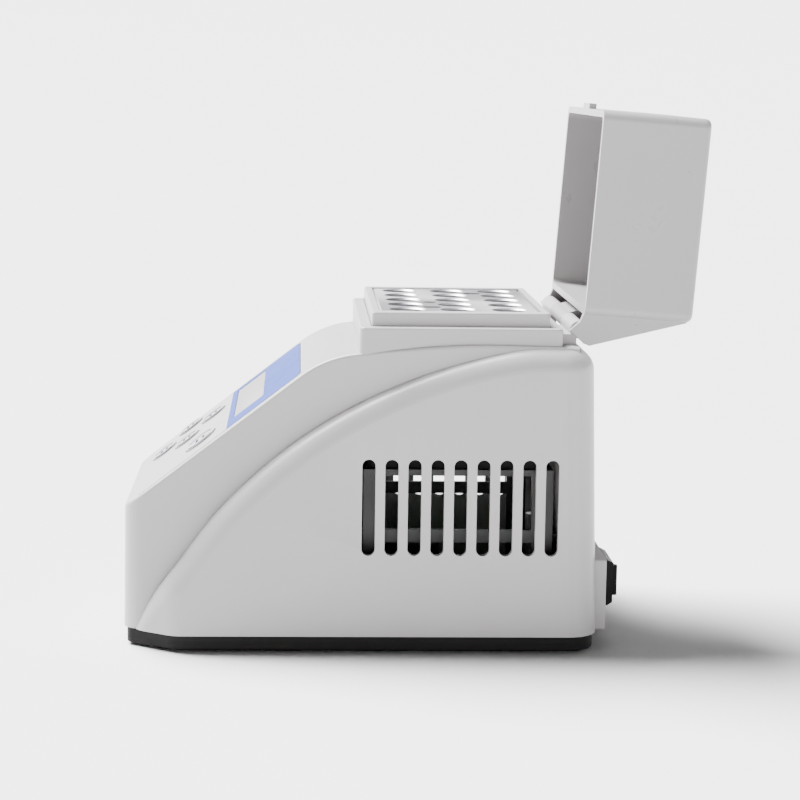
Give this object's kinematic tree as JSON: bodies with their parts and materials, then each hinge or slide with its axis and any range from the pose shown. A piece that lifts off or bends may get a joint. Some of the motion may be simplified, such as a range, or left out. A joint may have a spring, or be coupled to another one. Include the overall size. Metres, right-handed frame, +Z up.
{
  "type": "dry block heater",
  "caption": "Compact bench-top dry bath: sloped control panel with display and keys, aluminium tube block, vented body and a hinged lid.",
  "frame": {"origin": "centre of the base plate's flat underside; the rubber feet stand 0.8 mm below it", "axes": "+Z up, -Y towards the user and the control panel, +Y towards the rear with the switch, +X to the user's right"},
  "size_m": [0.11, 0.1878, 0.1775],
  "materials": {
    "housing_plastic": "fine textured light warm grey",
    "base_plastic": "dark charcoal, fine texture",
    "foot_rubber": "black, dull",
    "screw_steel": "zinc-plated",
    "collar_plastic": "light grey, smooth",
    "block_aluminium": "satin, machined",
    "heater_silicone": "orange-red silicone",
    "plate_aluminium": "rolled",
    "insulation_foam": "pressed fibre",
    "frame_steel": "black, matt",
    "board_laminate": "green solder mask",
    "component_plastic": "moulded, black",
    "standoff_brass": "turned",
    "display_plastic": "reflective grey, segments printed dark",
    "lens_clear": "clear, slightly tinted",
    "label_blue": "printed film, mid blue",
    "label_pale": "printed film, pale grey with dark blue lines",
    "key_plastic": "pale grey with a dark blue mark",
    "lid_plastic": "light warm grey",
    "switch_black": "black, satin"
  },
  "bodies": {
    "base_unit": {"housing": "housing_plastic", "base_plate": "base_plastic", "rubber_feet": "foot_rubber", "housing_screws": "screw_steel", "block_collar": "collar_plastic", "heat_block": "block_aluminium", "block_screws": "screw_steel", "heater_pad": "heater_silicone", "pressure_plate": "plate_aluminium", "insulation": "insulation_foam", "temperature_probe": "screw_steel", "support_frame": "frame_steel", "power_board": "board_laminate", "power_components": "component_plastic", "board_standoffs": "standoff_brass", "control_board": "board_laminate", "control_screws": "screw_steel", "key_contacts": "component_plastic", "display_module": "display_plastic", "display_lens": "lens_clear", "display_label": "label_blue", "keypad_label": "label_pale", "hinge_pin": "screw_steel", "switch_body": "switch_black", "power_socket": "switch_black"},
    "lid_unit": {"lid": "lid_plastic"},
    "rocker": {"switch_rocker": "switch_black"},
    "up_key": {"key_up": "key_plastic"},
    "down_key": {"key_down": "key_plastic"},
    "left_key": {"key_left": "key_plastic"},
    "right_key": {"key_right": "key_plastic"},
    "start_key": {"key_start": "key_plastic"}
  },
  "joints": [
    {"name": "lid_hinge", "type": "hinge", "parent": "base_unit", "child": "lid_unit", "pos_m": [0, 0.0697, 0.1042], "axis": [1, 0, 0], "range_deg": [0, 94]},
    {"name": "power_rocker", "type": "hinge", "parent": "base_unit", "child": "rocker", "pos_m": [0.0339, 0.0803, 0.0208], "axis": [0, 0, -1], "range_deg": [0, 20]},
    {"name": "press_up", "type": "slide", "parent": "base_unit", "child": "up_key", "axis": [0, 0.6116, -0.7912], "range_m": [0, 0.0005], "stiffness_N_per_m": 1000},
    {"name": "press_down", "type": "slide", "parent": "base_unit", "child": "down_key", "axis": [0, 0.6116, -0.7912], "range_m": [0, 0.0005], "stiffness_N_per_m": 1000},
    {"name": "press_left", "type": "slide", "parent": "base_unit", "child": "left_key", "axis": [0, 0.6116, -0.7912], "range_m": [0, 0.0005], "stiffness_N_per_m": 1000},
    {"name": "press_right", "type": "slide", "parent": "base_unit", "child": "right_key", "axis": [0, 0.6116, -0.7912], "range_m": [0, 0.0005], "stiffness_N_per_m": 1000},
    {"name": "press_start", "type": "slide", "parent": "base_unit", "child": "start_key", "axis": [0, 0.6116, -0.7912], "range_m": [0, 0.0005], "stiffness_N_per_m": 1000}
  ]
}
